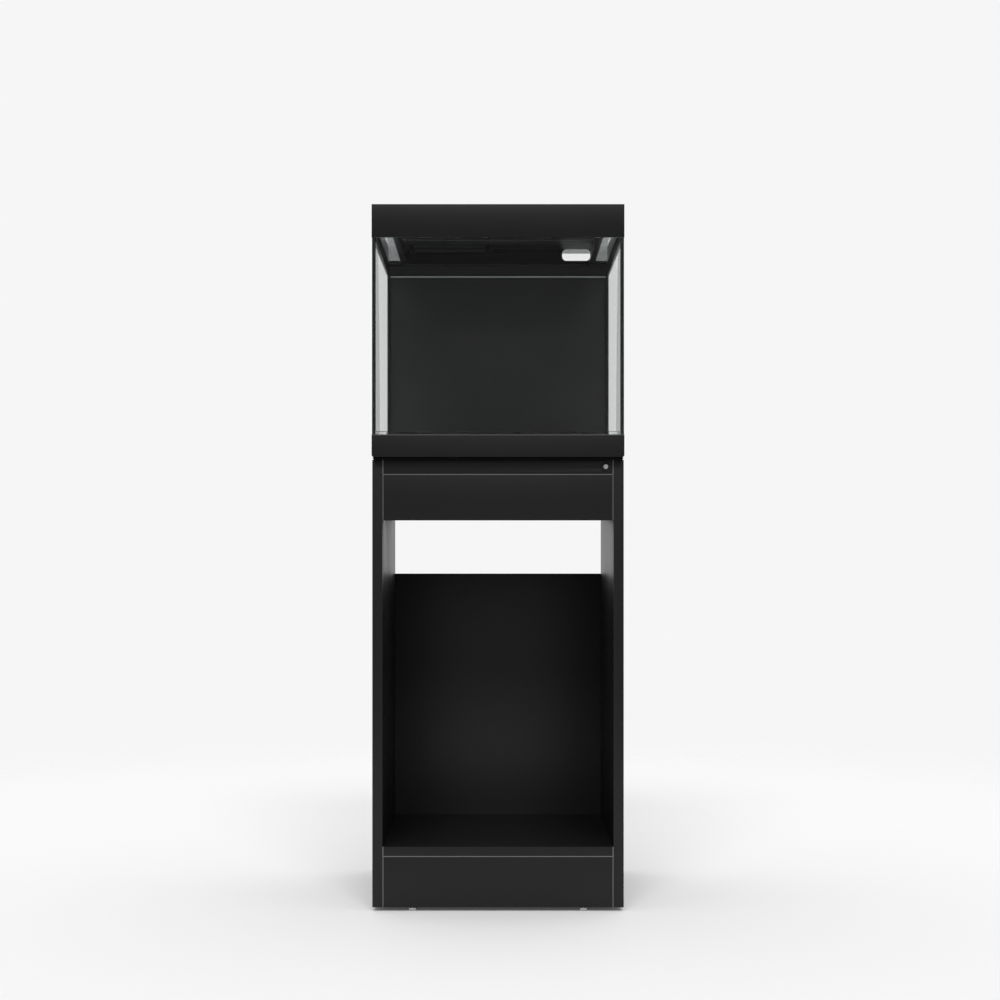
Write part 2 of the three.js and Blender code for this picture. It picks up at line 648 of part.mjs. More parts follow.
// The light unit hangs under the fixed top: a shallow housing, its circuit board and two lenses.
function addLight() {
  const left = LIGHT_CENTRE_X - LIGHT_WIDTH / 2;
  const right = LIGHT_CENTRE_X + LIGHT_WIDTH / 2;
  const rear = lightY + LIGHT_DEPTH;
  const shell = block([left, lightY, lightZ], [right, rear, lightTop]);
  const inside = block(
    [left + LIGHT_WALL, lightY + LIGHT_WALL, lightZ + LIGHT_WALL],
    [right - LIGHT_WALL, rear - LIGHT_WALL, lightTop + 1]);
  const middleY = lightY + LIGHT_DEPTH / 2;
  const lensY = { front: middleY - LENS_SPACING / 2, rear: middleY + LENS_SPACING / 2 };
  const windows = Object.values(lensY).map(y => block(
    [LIGHT_CENTRE_X - LENS_LENGTH / 2, y - LENS_WIDTH / 2, lightZ - 1],
    [LIGHT_CENTRE_X + LENS_LENGTH / 2, y + LENS_WIDTH / 2, lightZ + LIGHT_WALL + 1]));
  const socketZ = lightTop - LIGHT_HEIGHT / 2;
  const socketX = right - 4 * SOCKET_RADIUS;
  const socketHole = rod([socketX, rear - LIGHT_WALL - 1, socketZ], alongY, LIGHT_WALL + 2, SOCKET_RADIUS + GAP);
  place('light_housing', cut(shell, inside, socketHole, ...windows), blackPlastic);

  // Each lens drops into its window and rests on the housing's floor by a thin rim.
  for (const [name, y] of Object.entries(lensY)) {
    const halfX = LENS_LENGTH / 2 - GAP;
    const halfY = LENS_WIDTH / 2 - GAP;
    const floor = lightZ + LIGHT_WALL + GAP;
    const body = block(
      [LIGHT_CENTRE_X - halfX, y - halfY, lightZ],
      [LIGHT_CENTRE_X + halfX, y + halfY, floor + LENS_THICKNESS]);
    const rim = block(
      [LIGHT_CENTRE_X - halfX - LENS_RIM, y - halfY - LENS_RIM, floor],
      [LIGHT_CENTRE_X + halfX + LENS_RIM, y + halfY + LENS_RIM, floor + LENS_THICKNESS]);
    place(`${name}_light_lens`, join(body, rim), diffuser);
  }

  const boardGap = LIGHT_WALL + GAP;
  const boardZ = lightZ + LED_BOARD_LIFT;
  const boardRear = rear - LIGHT_WALL - SOCKET_LENGTH - GAP;
  const board = block([left + boardGap, lightY + boardGap, boardZ], [right - boardGap, boardRear, boardZ + LED_BOARD]);
  place('led_board', board, circuit);

  const socket = [
    [0, 0],
    [SOCKET_RADIUS, 0],
    [SOCKET_RADIUS, SOCKET_LENGTH],
    [SOCKET_BORE, SOCKET_LENGTH],
    [SOCKET_BORE, LIGHT_WALL],
    [SOCKET_PIN, LIGHT_WALL],
    [SOCKET_PIN, SOCKET_LENGTH - 1],
    [0, SOCKET_LENGTH - 1],
  ];
  place('light_socket', turned(socket, [socketX, rear - SOCKET_LENGTH + 1, socketZ], alongY), blackPlastic);
}

function addHood() {
  addHoodFrame();
  addRail('left_hood_rail', -1);
  addRail('right_hood_rail', 1);
  addClearPanels();
  addLid();
  addLight();
}

addBoards();
addGlides();
addCamFittings();
addPushLatch();
addTankBase();
addPanes();
addSeams();
addHood();

export default model;
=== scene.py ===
import math

import bmesh
import bpy
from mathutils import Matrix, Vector


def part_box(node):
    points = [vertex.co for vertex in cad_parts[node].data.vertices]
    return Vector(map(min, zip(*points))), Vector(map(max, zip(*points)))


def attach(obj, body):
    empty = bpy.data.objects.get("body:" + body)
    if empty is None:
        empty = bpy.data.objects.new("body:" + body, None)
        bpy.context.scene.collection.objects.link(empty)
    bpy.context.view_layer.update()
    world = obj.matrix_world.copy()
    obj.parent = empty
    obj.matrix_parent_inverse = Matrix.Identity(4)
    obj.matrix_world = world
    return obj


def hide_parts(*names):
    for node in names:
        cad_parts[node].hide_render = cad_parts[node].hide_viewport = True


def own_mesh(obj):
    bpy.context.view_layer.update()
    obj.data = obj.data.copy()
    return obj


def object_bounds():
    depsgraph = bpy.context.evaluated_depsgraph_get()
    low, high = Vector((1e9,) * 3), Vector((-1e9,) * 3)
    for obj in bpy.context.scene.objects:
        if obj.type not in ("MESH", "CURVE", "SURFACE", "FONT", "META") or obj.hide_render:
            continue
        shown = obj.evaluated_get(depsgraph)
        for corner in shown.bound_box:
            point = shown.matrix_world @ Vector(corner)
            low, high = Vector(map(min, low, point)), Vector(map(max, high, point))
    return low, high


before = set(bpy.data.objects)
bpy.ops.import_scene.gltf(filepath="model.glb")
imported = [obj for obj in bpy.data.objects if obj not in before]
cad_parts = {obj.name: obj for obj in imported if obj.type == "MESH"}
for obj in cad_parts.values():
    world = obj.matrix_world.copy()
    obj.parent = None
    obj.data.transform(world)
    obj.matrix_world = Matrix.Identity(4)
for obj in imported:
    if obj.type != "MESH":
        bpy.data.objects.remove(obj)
cad_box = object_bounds()
scene = bpy.context.scene
scene.view_settings.view_transform = "Standard"


# ---------------------------------------------------------------------------
# Camera and studio. A level camera stands in front of the tank's face. Two
# soft keys and two weak fills light it, between a pale floor and a bright wall.
# ---------------------------------------------------------------------------

CAMERA_DISTANCE = 3.2
CAMERA_HEIGHT = 0.634
CAMERA_LENS = 64.74
CAMERA_SHIFT = (0.002, 0.057)
SENSOR = 36.0

camera_data = bpy.data.cameras.new("studio_camera")
camera_data.lens = CAMERA_LENS
camera_data.sensor_width = SENSOR
camera_data.shift_x, camera_data.shift_y = CAMERA_SHIFT
camera = bpy.data.objects.new("studio_camera", camera_data)
camera.location = (0.0, cad_box[0].y - CAMERA_DISTANCE, CAMERA_HEIGHT)
camera.rotation_euler = (math.radians(90), 0, 0)
scene.collection.objects.link(camera)
scene.camera = camera

BACKDROP = 0.92
SURROUND_BRIGHT = 0.95
SURROUND_DIM = 0.30
DIM_AT = -1.0
BRIGHT_AT = 0.25


def link(tree, source, target):
    tree.links.new(source, target)


def build_surround():
    """The backdrop is one pale tone; what lights the object is dim in front and bright behind."""
    world = bpy.data.worlds.new("studio_surround")
    world.use_nodes = True
    tree = world.node_tree
    tree.nodes.clear()
    output = tree.nodes.new("ShaderNodeOutputWorld")
    seen = tree.nodes.new("ShaderNodeBackground")
    seen.inputs["Color"].default_value = (BACKDROP, BACKDROP, BACKDROP, 1)
    lighting = tree.nodes.new("ShaderNodeBackground")
    direction = tree.nodes.new("ShaderNodeTexCoord")
    parts = tree.nodes.new("ShaderNodeSeparateXYZ")
    ramp = tree.nodes.new("ShaderNodeMapRange")
    ramp.inputs["From Min"].default_value = DIM_AT
    ramp.inputs["From Max"].default_value = BRIGHT_AT
    ramp.inputs["To Min"].default_value = SURROUND_DIM
    ramp.inputs["To Max"].default_value = SURROUND_BRIGHT
    link(tree, direction.outputs["Generated"], parts.inputs[0])
    link(tree, parts.outputs["Y"], ramp.inputs["Value"])
    link(tree, ramp.outputs["Result"], lighting.inputs["Strength"])
    rays = tree.nodes.new("ShaderNodeLightPath")
    mix = tree.nodes.new("ShaderNodeMixShader")
    link(tree, rays.outputs["Is Camera Ray"], mix.inputs["Fac"])
    link(tree, lighting.outputs[0], mix.inputs[1])
    link(tree, seen.outputs[0], mix.inputs[2])
    link(tree, mix.outputs[0], output.inputs["Surface"])
    scene.world = world


def add_sun(name, source, strength, softness):
    """A soft distant light that shines from the direction of source."""
    data = bpy.data.lights.new(name, "SUN")
    data.energy = strength
    data.angle = math.radians(softness)
    light = bpy.data.objects.new(name, data)
    light.rotation_euler = Vector(source).to_track_quat("Z", "Y").to_euler()
    scene.collection.objects.link(light)


build_surround()
add_sun("left_key", source=(-0.26, -1.0, 0.98), strength=0.68, softness=18)
add_sun("right_key", source=(0.26, -1.0, 0.98), strength=0.66, softness=18)
add_sun("top_fill", source=(0.0, 0.25, 1.6), strength=0.30, softness=70)
add_sun("front_fill", source=(0.0, -1.0, 0.50), strength=0.13, softness=45)

FLOOR_RADIUS = 6.0
FLOOR_SEGMENTS = 96
FLOOR_TONE = 0.90
FLOOR_ROUGHNESS = 0.9
FLOOR_GLOW = 0.055
FLOOR_FADE_FROM = 1.2
FLOOR_FADE_TO = 3.0

floor_mesh = bmesh.new()
bmesh.ops.create_circle(floor_mesh, cap_ends=True, radius=FLOOR_RADIUS, segments=FLOOR_SEGMENTS)
floor_data = bpy.data.meshes.new("studio_floor")
floor_mesh.to_mesh(floor_data)
floor_mesh.free()
floor = bpy.data.objects.new("studio_floor", floor_data)
floor_paint = bpy.data.materials.new("studio_floor")
floor_paint.use_nodes = True
floor_tree = floor_paint.node_tree
floor_shader = floor_tree.nodes["Principled BSDF"]
floor_shader.inputs["Base Color"].default_value = (FLOOR_TONE, FLOOR_TONE, FLOOR_TONE, 1)
floor_shader.inputs["Roughness"].default_value = FLOOR_ROUGHNESS
floor_shader.inputs["Specular IOR Level"].default_value = 0.0
floor_shader.inputs["Emission Color"].default_value = (1, 1, 1, 1)
floor_shader.inputs["Emission Strength"].default_value = FLOOR_GLOW
floor_reach = floor_tree.nodes.new("ShaderNodeVectorMath")
floor_reach.operation = "LENGTH"
floor_fade = floor_tree.nodes.new("ShaderNodeMapRange")
floor_fade.interpolation_type = "SMOOTHSTEP"
floor_fade.inputs["From Min"].default_value = FLOOR_FADE_FROM
floor_fade.inputs["From Max"].default_value = FLOOR_FADE_TO
floor_fade.inputs["To Min"].default_value = 1.0
floor_fade.inputs["To Max"].default_value = 0.0
link(floor_tree, floor_tree.nodes.new("ShaderNodeTexCoord").outputs["Object"], floor_reach.inputs[0])
link(floor_tree, floor_reach.outputs["Value"], floor_fade.inputs["Value"])
link(floor_tree, floor_fade.outputs["Result"], floor_shader.inputs["Alpha"])
floor_data.materials.append(floor_paint)
scene.collection.objects.link(floor)


# ---------------------------------------------------------------------------
# Cabinet boards. Particle board faced with black melamine, cut square, with
# the edges banded and eased. Each joint shows a fine light line: a painted
# highlight along the fitted boards' edges.
# ---------------------------------------------------------------------------

BOARD_BLACK = (0.0070, 0.0070, 0.0073, 1)
# The back board's black is lighter than the other boards' black: painted light on the back of the bay.
BACK_PAINTED_LIGHT_BLACK = (0.0160, 0.0160, 0.0164, 1)
BOARD_WORN = (0.018, 0.018, 0.0185, 1)
JOINT_HIGHLIGHT_GREY = (0.170, 0.170, 0.171, 1)
BOARD_EASE = 0.0011
JOINT_WIDTH = 0.0018


def new_group(name, inputs, outputs):
    """A shader node group with named sockets: (name, kind, default) in, (name, kind) out."""
    group = bpy.data.node_groups.new(name, "ShaderNodeTree")
    for label, kind, default in inputs:
        socket = group.interface.new_socket(label, in_out="INPUT", socket_type=kind)
        socket.default_value = default
    for label, kind in outputs:
        group.interface.new_socket(label, in_out="OUTPUT", socket_type=kind)
    enter = group.nodes.new("NodeGroupInput")
    leave = group.nodes.new("NodeGroupOutput")
    return group, enter, leave


def math_node(tree, operation, first, second, clamp=False):
    node = tree.nodes.new("ShaderNodeMath")
    node.operation = operation
    node.use_clamp = clamp
    for socket, value in zip(node.inputs, (first, second)):
        if isinstance(value, (int, float)):
            socket.default_value = value
        else:
            link(tree, value, socket)
    return node.outputs[0]


def noise_node(tree, vector, scale, detail, roughness=0.55):
    node = tree.nodes.new("ShaderNodeTexNoise")
    node.inputs["Detail"].default_value = detail
    node.inputs["Roughness"].default_value = roughness
    if isinstance(scale, (int, float)):
        node.inputs["Scale"].default_value = scale
    else:
        link(tree, scale, node.inputs["Scale"])
    link(tree, vector, node.inputs["Vector"])
    return node.outputs["Fac"]


def build_edge_band_mask():
    """A mask along the edges of a box from Low to High: 1 on the edge, 0 past Width, broken by Breakup."""
    inputs = [
        ("Low", "NodeSocketVector", (0, 0, 0)),
        ("High", "NodeSocketVector", (1, 1, 1)),
        ("Width", "NodeSocketFloat", 0.002),
        ("Crispness", "NodeSocketFloat", 1.0),
        ("Breakup", "NodeSocketFloat", 0.5),
    ]
    group, enter, leave = new_group("edge_band_mask", inputs, [("Mask", "NodeSocketFloat")])
    place = group.nodes.new("ShaderNodeTexCoord").outputs["Object"]
    below = group.nodes.new("ShaderNodeVectorMath")
    below.operation = "SUBTRACT"
    link(group, place, below.inputs[0])
    link(group, enter.outputs["Low"], below.inputs[1])
    above = group.nodes.new("ShaderNodeVectorMath")
    above.operation = "SUBTRACT"
    link(group, enter.outputs["High"], above.inputs[0])
    link(group, place, above.inputs[1])
    nearest = group.nodes.new("ShaderNodeVectorMath")
    nearest.operation = "MINIMUM"
    link(group, below.outputs[0], nearest.inputs[0])
    link(group, above.outputs[0], nearest.inputs[1])
    parts = group.nodes.new("ShaderNodeSeparateXYZ")
    link(group, nearest.outputs[0], parts.inputs[0])
    x, y, z = parts.outputs
    low_pair = math_node(group, "MINIMUM", x, y)
    high_pair = math_node(group, "MAXIMUM", x, y)
    second = math_node(group, "MAXIMUM", low_pair, math_node(group, "MINIMUM", high_pair, z))
    inside = math_node(group, "SUBTRACT", 1.0, math_node(group, "DIVIDE", second, enter.outputs["Width"]))
    near = math_node(group, "MULTIPLY", inside, enter.outputs["Crispness"], clamp=True)
    patchy = noise_node(group, place, 38.0, 4.0)
    scaled = math_node(group, "MULTIPLY", patchy, enter.outputs["Breakup"])
    kept = math_node(group, "SUBTRACT", 1.0, scaled, clamp=True)
    link(group, math_node(group, "MULTIPLY", near, kept, clamp=True), leave.inputs["Mask"])
    return group


def build_surface_grain():
    """Fine bumps of a pressed or moulded skin, and the slow change of its sheen."""
    inputs = [
        ("Scale", "NodeSocketFloat", 900.0),
        ("Stretch", "NodeSocketVector", (1, 1, 1)),
        ("Roughness", "NodeSocketFloat", 0.4),
        ("Variation", "NodeSocketFloat", 0.1),
    ]
    outputs = [("Height", "NodeSocketFloat"), ("Roughness", "NodeSocketFloat"), ("Tone", "NodeSocketFloat")]
    group, enter, leave = new_group("surface_grain", inputs, outputs)
    place = group.nodes.new("ShaderNodeTexCoord").outputs["Object"]
    stretched = group.nodes.new("ShaderNodeVectorMath")
    stretched.operation = "MULTIPLY"
    link(group, place, stretched.inputs[0])
    link(group, enter.outputs["Stretch"], stretched.inputs[1])
    fine = noise_node(group, stretched.outputs[0], enter.outputs["Scale"], 3.0)
    pores = group.nodes.new("ShaderNodeTexVoronoi")
    link(group, stretched.outputs[0], pores.inputs["Vector"])
    link(group, enter.outputs["Scale"], pores.inputs["Scale"])
    cells = math_node(group, "MULTIPLY", pores.outputs["Distance"], 0.5)
    link(group, math_node(group, "ADD", fine, cells), leave.inputs["Height"])
    slow = noise_node(group, place, 6.0, 5.0, 0.6)
    centred = math_node(group, "SUBTRACT", slow, 0.5)
    change = math_node(group, "MULTIPLY", centred, enter.outputs["Variation"])
    rough = math_node(group, "ADD", enter.outputs["Roughness"], change, clamp=True)
    link(group, rough, leave.inputs["Roughness"])
    link(group, slow, leave.inputs["Tone"])
    return group


def build_settled_dust():
    """A mask of fine dust on faces that look up, thin and patchy."""
    inputs = [("Amount", "NodeSocketFloat", 0.3)]
    group, enter, leave = new_group("settled_dust", inputs, [("Mask", "NodeSocketFloat")])
    place = group.nodes.new("ShaderNodeTexCoord").outputs["Object"]
    facing = group.nodes.new("ShaderNodeSeparateXYZ")
    link(group, group.nodes.new("ShaderNodeNewGeometry").outputs["Normal"], facing.inputs[0])
    above = math_node(group, "SUBTRACT", facing.outputs["Z"], 0.6)
    up = math_node(group, "MULTIPLY", above, 2.5, clamp=True)
    specks = noise_node(group, place, 420.0, 6.0, 0.75)
    drifts = noise_node(group, place, 9.0, 4.0)
    patchy = math_node(group, "MULTIPLY", specks, drifts)
    lying = math_node(group, "MULTIPLY", patchy, up)
    amount = math_node(group, "MULTIPLY", lying, enter.outputs["Amount"], clamp=True)
    link(group, amount, leave.inputs["Mask"])
    return group


edge_band_mask = build_edge_band_mask()
surface_grain = build_surface_grain()
settled_dust = build_settled_dust()


def use_group(tree, group, **values):
    node = tree.nodes.new("ShaderNodeGroup")
    node.node_tree = group
    for label, value in values.items():
        node.inputs[label].default_value = value
    return node


def mix_colour(tree, factor, first, second):
    node = tree.nodes.new("ShaderNodeMix")
    node.data_type = "RGBA"
    link(tree, factor, node.inputs["Factor"])
    for socket, value in zip((node.inputs[6], node.inputs[7]), (first, second)):
        if isinstance(value, tuple):
            socket.default_value = value
        else:
            link(tree, value, socket)
    return node.outputs[2]


def new_material(name):
    material = bpy.data.materials.new(name)
    material.use_nodes = True
    return material, material.node_tree, material.node_tree.nodes["Principled BSDF"]


def add_bump(tree, shader, height, strength, distance):
    bump = tree.nodes.new("ShaderNodeBump")
    bump.inputs["Strength"].default_value = strength
    bump.inputs["Distance"].default_value = distance
    link(tree, height, bump.inputs["Height"])
    link(tree, bump.outputs["Normal"], shader.inputs["Normal"])


DUST = (0.22, 0.21, 0.20, 1)
EDGE_BREAKUP = 0.5
PLAIN_FACE_PUSH = 0.02
GRAIN_DEPTH = 0.0002
SHEEN_CHANGE = 0.12


def moulded_finish(name, node, colour, wear_and_highlight_colour, roughness, scale, bump, wear_and_highlight_width=0.0012, specular=0.3,
                   stretch=(1, 1, 1), dust=0.18, crispness=1.0, plain=""):
    """A skin with grain, lighter edges and a little dust. The lighter edges are wear on some pieces and a
    painted highlight on others; the edges of the plain faces stay dark.
    """
    material, tree, shader = new_material(name)
    low, high = (corner.copy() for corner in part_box(node))
    for face in plain.split():
        axis = "xyz".index(face[0])
        if face[1] == "+":
            high[axis] += PLAIN_FACE_PUSH
        else:
            low[axis] -= PLAIN_FACE_PUSH
    edges = use_group(tree, edge_band_mask, Low=low, High=high, Width=wear_and_highlight_width, Crispness=crispness,
                      Breakup=EDGE_BREAKUP / crispness)
    grain = use_group(tree, surface_grain, Scale=scale, Stretch=stretch, Roughness=roughness,
                      Variation=SHEEN_CHANGE)
    dusty = use_group(tree, settled_dust, Amount=dust)
    tinted = mix_colour(tree, edges.outputs["Mask"], colour, wear_and_highlight_colour)
    link(tree, mix_colour(tree, dusty.outputs["Mask"], tinted, DUST), shader.inputs["Base Color"])
    link(tree, grain.outputs["Roughness"], shader.inputs["Roughness"])
    shader.inputs["Specular IOR Level"].default_value = specular
    add_bump(tree, shader, grain.outputs["Height"], bump, GRAIN_DEPTH)
    return material


MERGE_DISTANCE = 1e-6
FLAT_ANGLE = math.radians(1)
SHARP_ANGLE = math.radians(30)


def ease_edges(mesh, ease, segments):
    """Rounds each sharp edge of a mesh by the same small distance."""
    sharp = [e for e in mesh.edges if len(e.link_faces) == 2 and e.calc_face_angle() > SHARP_ANGLE]
    bmesh.ops.bevel(mesh, geom=sharp, offset=ease, segments=segments, profile=0.5,
                    affect="EDGES", material=-1, clamp_overlap=True)


def refined(node, ease, segments=3):
    """A merged copy of a CAD node with its flat faces whole again and its sharp edges eased."""
    mesh = bmesh.new()
    mesh.from_mesh(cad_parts[node].data)
    bmesh.ops.remove_doubles(mesh, verts=mesh.verts, dist=MERGE_DISTANCE)
    bmesh.ops.dissolve_limit(mesh, angle_limit=FLAT_ANGLE, verts=mesh.verts, edges=mesh.edges)
    if ease:
        ease_edges(mesh, ease, segments)
    return mesh


def finish_piece(name, mesh, material, body, nodes, smooth=40):
    """Turns a mesh into a piece that rides a body and stands for the named CAD nodes."""
    data = bpy.data.meshes.new(name)
    mesh.to_mesh(data)
    mesh.free()
    for polygon in data.polygons:
        polygon.use_smooth = True
    data.set_sharp_from_angle(angle=math.radians(smooth))
    data.materials.append(material)
    piece = bpy.data.objects.new(name, data)
    scene.collection.objects.link(piece)
    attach(piece, body)
    if nodes:
        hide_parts(*nodes)
    return piece


GRAIN_RUN = 0.12
ALONG = {"x": (GRAIN_RUN, 1, 1), "z": (1, 1, GRAIN_RUN)}
OUTER_BOARDS = {
    "left_side_board": ("left_side_panel", "z", BOARD_BLACK),
    "right_side_board": ("right_side_panel", "z", BOARD_BLACK),
    "rear_rail": ("rear_rail_panel", "x", BOARD_BLACK),
    "back_board": ("back_panel", "z", BACK_PAINTED_LIGHT_BLACK),
}
FITTED_BOARDS = {
    "top_board": ("top_panel", "z+ z- y+"),
    "front_apron": ("apron_panel", "z- y+"),
    "bottom_shelf": ("bottom_panel", "z+ y+"),
    "kick_board": ("kick_panel", "z+ z- y+"),
}

for node, (name, run, colour) in OUTER_BOARDS.items():
    facing = moulded_finish(f"black_melamine_{name}", node, colour, BOARD_WORN, roughness=0.36, scale=1500.0,
                            bump=0.25, wear_and_highlight_width=0.0016, stretch=ALONG[run], dust=0.15)
    finish_piece(name, refined(node, BOARD_EASE), facing, "stand_and_tank", [node])
# The fitted boards' edges are painted with a crisp light grey band: a painted highlight where light catches
# each joint.
for node, (name, plain) in FITTED_BOARDS.items():
    facing = moulded_finish(f"black_melamine_{name}", node, BOARD_BLACK, JOINT_HIGHLIGHT_GREY, roughness=0.42,
                            scale=1500.0, bump=0.25, wear_and_highlight_width=JOINT_WIDTH, stretch=ALONG["x"], dust=0.02,
                            crispness=3.0, plain=plain)
    finish_piece(name, refined(node, BOARD_EASE), facing, "stand_and_tank", [node])


# ---------------------------------------------------------------------------
# Cam fittings. Eight die-cast zinc discs lie in pockets under the level
# boards and pull on the heads of plated steel bolts fixed in the sides.
# ---------------------------------------------------------------------------

ZINC = (0.36, 0.36, 0.37, 1)
ZINC_DARK = (0.20, 0.20, 0.21, 1)
STEEL = (0.60, 0.60, 0.61, 1)
STEEL_DARK = (0.38, 0.38, 0.39, 1)
TOOL_MARK_DEPTH = 0.0001
CAM_EASE = 0.0005
BOLT_EASE = 0.0002


def metal_finish(name, light, dark, roughness, scale):
    """Bare or plated metal: slow tone changes and fine tool marks."""
    material, tree, shader = new_material(name)
    grain = use_group(tree, surface_grain, Scale=scale, Roughness=roughness, Variation=0.25)
    link(tree, mix_colour(tree, grain.outputs["Tone"], dark, light), shader.inputs["Base Color"])
    link(tree, grain.outputs["Roughness"], shader.inputs["Roughness"])
    shader.inputs["Metallic"].default_value = 1.0
    add_bump(tree, shader, grain.outputs["Height"], 0.2, TOOL_MARK_DEPTH)
    return material


cast_zinc = metal_finish("cast_zinc", ZINC, ZINC_DARK, roughness=0.42, scale=1100.0)
plated_steel = metal_finish("plated_steel", STEEL, STEEL_DARK, roughness=0.28, scale=1800.0)

fitting_places = [
    f"{board}_{end}_{side}"
    for board in ("top", "shelf")
    for end in ("front", "rear")
    for side in ("left", "right")
]
for place in fitting_places:
    cam = refined(f"{place}_cam", CAM_EASE, 2)
    finish_piece(f"{place}_cam_disc", cam, cast_zinc, "stand_and_tank", [f"{place}_cam"])
    bolt = refined(f"{place}_bolt", BOLT_EASE, 2)
    finish_piece(f"{place}_cam_bolt", bolt, plated_steel, "stand_and_tank", [f"{place}_bolt"])


# ---------------------------------------------------------------------------
# Glides. Four turned steel buttons, each with a spigot pressed into the
# lower edge of the kick board or the back board.
# ---------------------------------------------------------------------------

GLIDE_ROUND = 0.0010
GLIDE_DISH = 0.0004
GLIDE_EASE = 0.0002
SPIGOT_RADIUS = 0.0030
SPIGOT_FROM = 0.0067
SPIGOT_TIP = 0.0010


def turned(profile, centre, axis, ease=0.0, steps=48):
    """A turned piece: (radius, distance along the axis) pairs, swept once round."""
    mesh = bmesh.new()
    along = Vector(axis)
    out = along.orthogonal().normalized()
    points = [mesh.verts.new(Vector(centre) + along * far + out * radius) for radius, far in profile]
    lines = [mesh.edges.new(pair) for pair in zip(points, points[1:])]
    bmesh.ops.spin(mesh, geom=points + lines, cent=centre, axis=axis, dvec=(0, 0, 0),
                   angle=2 * math.pi, steps=steps, use_merge=True)
    bmesh.ops.remove_doubles(mesh, verts=mesh.verts, dist=MERGE_DISTANCE)
    bmesh.ops.recalc_face_normals(mesh, faces=mesh.faces)
    if ease:
        ease_edges(mesh, ease, 3)
    return mesh


for end in ("front", "rear"):
    for side in ("left", "right"):
        node = f"{end}_{side}_glide"
        low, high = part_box(node)
        middle = (low + high) / 2
        radius = (high.x - low.x) / 2
        profile = [
            (0.0, GLIDE_DISH),
            (radius * 0.55, GLIDE_DISH),
            (radius * 0.62, 0.0),
            (radius - GLIDE_ROUND, 0.0),
            (radius, GLIDE_ROUND),
            (radius, SPIGOT_FROM - GLIDE_ROUND),
            (radius - GLIDE_ROUND, SPIGOT_FROM),
            (SPIGOT_RADIUS, SPIGOT_FROM),
            (SPIGOT_RADIUS, high.z - SPIGOT_TIP),
            (SPIGOT_RADIUS - SPIGOT_TIP, high.z),
            (0.0, high.z),
        ]
        glide = turned(profile, (middle.x, middle.y, 0.0), (0, 0, 1), GLIDE_EASE)
        finish_piece(f"{end}_{side}_steel_glide", glide, plated_steel, "stand_and_tank", [node])


# ---------------------------------------------------------------------------
# Push latch. A black plastic sleeve let into the top board's front edge, a
# grey plunger that a door pushes in, and the steel spring that returns it.
# ---------------------------------------------------------------------------

LATCH_GREY = (0.34, 0.34, 0.345, 1)
LATCH_GREY_WORN = (0.45, 0.45, 0.455, 1)
LATCH_BLACK = (0.012, 0.012, 0.0125, 1)
LATCH_BLACK_WORN = (0.05, 0.05, 0.05, 1)
SLEEVE_EASE = 0.0003
NOSE_ROUND = 0.0007
NOSE_RIM = 0.0012
NOSE_DISH = 0.0003
GROOVE_FROM = 0.0090
GROOVE_TO = 0.0112
GROOVE_DEPTH = 0.0004
PEG_LENGTH = 0.0070
PEG_RADIUS = 0.0016
PEG_EASE = 0.0004
SHOULDER_DROP = 0.0005
SHOULDER_RUN = 0.0002
SPRING_TURNS = 9
STEPS_PER_TURN = 20
SPRING_RADIUS = 0.0026
SPRING_WIRE = 0.00045
WIRE_SIDES = 10

sleeve_low, sleeve_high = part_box("latch_sleeve")
plunger_low, plunger_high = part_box("latch_plunger")
spring_low, spring_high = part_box("latch_spring")
latch_line = ((plunger_low.x + plunger_high.x) / 2, 0.0, (plunger_low.z + plunger_high.z) / 2)
plunger_radius = (plunger_high.x - plunger_low.x) / 2

latch_black = moulded_finish("latch_black_plastic", "latch_sleeve", LATCH_BLACK, LATCH_BLACK_WORN,
                             roughness=0.45, scale=2200.0, bump=0.15, wear_and_highlight_width=0.0004, dust=0.0)
latch_grey = moulded_finish("latch_grey_plastic", "latch_plunger", LATCH_GREY, LATCH_GREY_WORN,
                            roughness=0.4, scale=2200.0, bump=0.15, wear_and_highlight_width=0.0004, specular=0.5, dust=0.0)
finish_piece("latch_tube", refined("latch_sleeve", SLEEVE_EASE, 2), latch_black, "stand_and_tank",
             ["latch_sleeve"])

nose = plunger_low.y
peg_end = plunger_high.y
peg_from = peg_end - PEG_LENGTH
plunger_profile = [
    (0.0, nose + NOSE_DISH),
    (plunger_radius - NOSE_RIM - GROOVE_DEPTH, nose + NOSE_DISH),
    (plunger_radius - NOSE_RIM, nose),
    (plunger_radius - NOSE_ROUND, nose),
    (plunger_radius, nose + NOSE_ROUND),
    (plunger_radius, nose + GROOVE_FROM),
    (plunger_radius - GROOVE_DEPTH, nose + GROOVE_FROM + GROOVE_DEPTH),
    (plunger_radius - GROOVE_DEPTH, nose + GROOVE_TO - GROOVE_DEPTH),
    (plunger_radius, nose + GROOVE_TO),
    (plunger_radius, peg_from - SHOULDER_RUN),
    (plunger_radius - SHOULDER_DROP, peg_from),
    (PEG_RADIUS, peg_from),
    (PEG_RADIUS, peg_end - PEG_EASE),
    (PEG_RADIUS - PEG_EASE, peg_end),
    (0.0, peg_end),
]
plunger = turned(plunger_profile, latch_line, (0, 1, 0))
finish_piece("latch_button", plunger, latch_grey, "latch", ["latch_plunger"])

